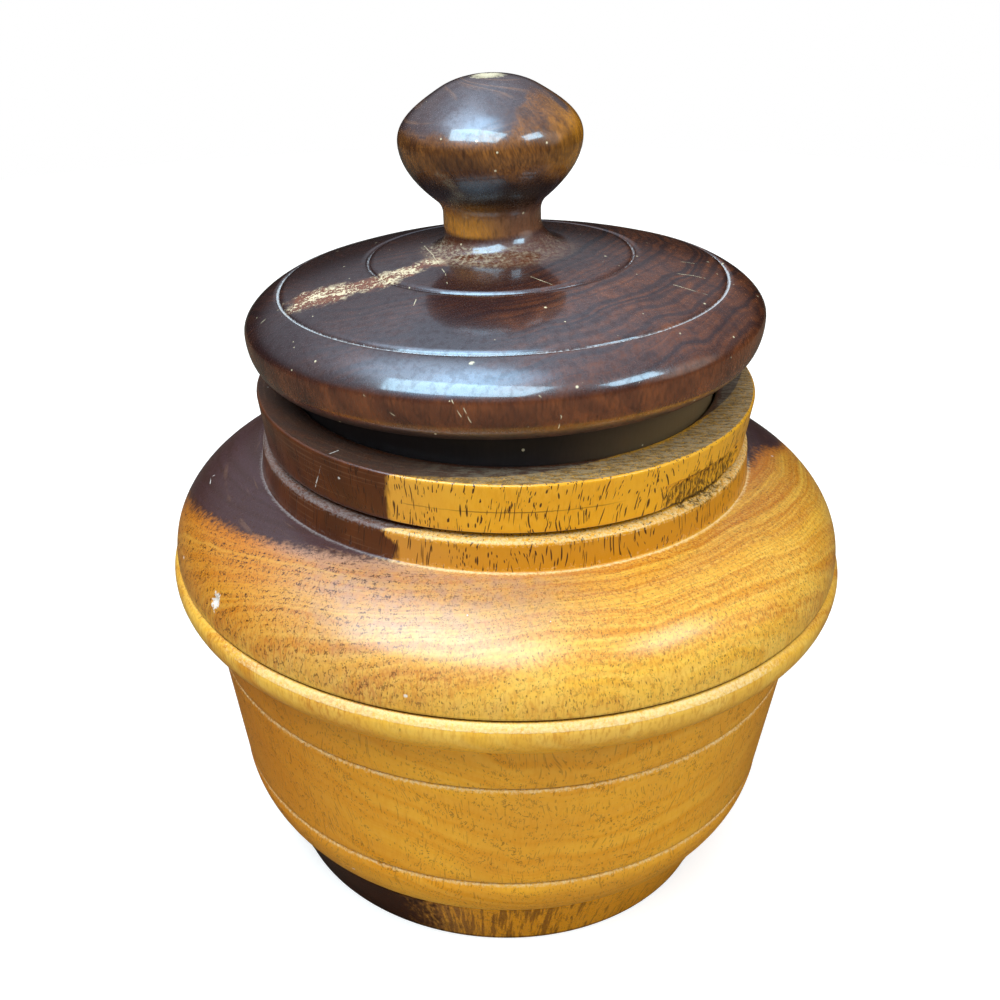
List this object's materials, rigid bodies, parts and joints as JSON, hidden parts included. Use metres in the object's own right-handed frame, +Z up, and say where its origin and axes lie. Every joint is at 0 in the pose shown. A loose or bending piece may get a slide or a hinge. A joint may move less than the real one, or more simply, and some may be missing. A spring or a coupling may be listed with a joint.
{
  "type": "lidded jar",
  "caption": "Turned wooden jar with a footed bowl, beaded shoulder and banded neck, closed by a domed plug lid with a knob that lifts off.",
  "frame": {"origin": "centre of the foot's underside, on the jar's axis", "axes": "+Z up along the jar's axis, -Y the side that the picture looks at, +X to its right"},
  "size_m": [0.1218, 0.1218, 0.1451],
  "materials": {
    "body_wood": "golden-brown sapwood with a dark purple-brown heartwood patch at the back left, fine dark pores, satin wax polish",
    "lid_wood": "dark purple-brown heartwood with brown growth rings, glossy wax polish, worn pale at the grooves and the flare"
  },
  "bodies": {
    "jar": {"jar_body": "body_wood"},
    "lid": {"lid": "lid_wood"}
  },
  "joints": [
    {"name": "lid_lift", "type": "slide", "parent": "jar", "child": "lid", "axis": [0, 0, 1], "range_m": [0, 0.06]}
  ]
}
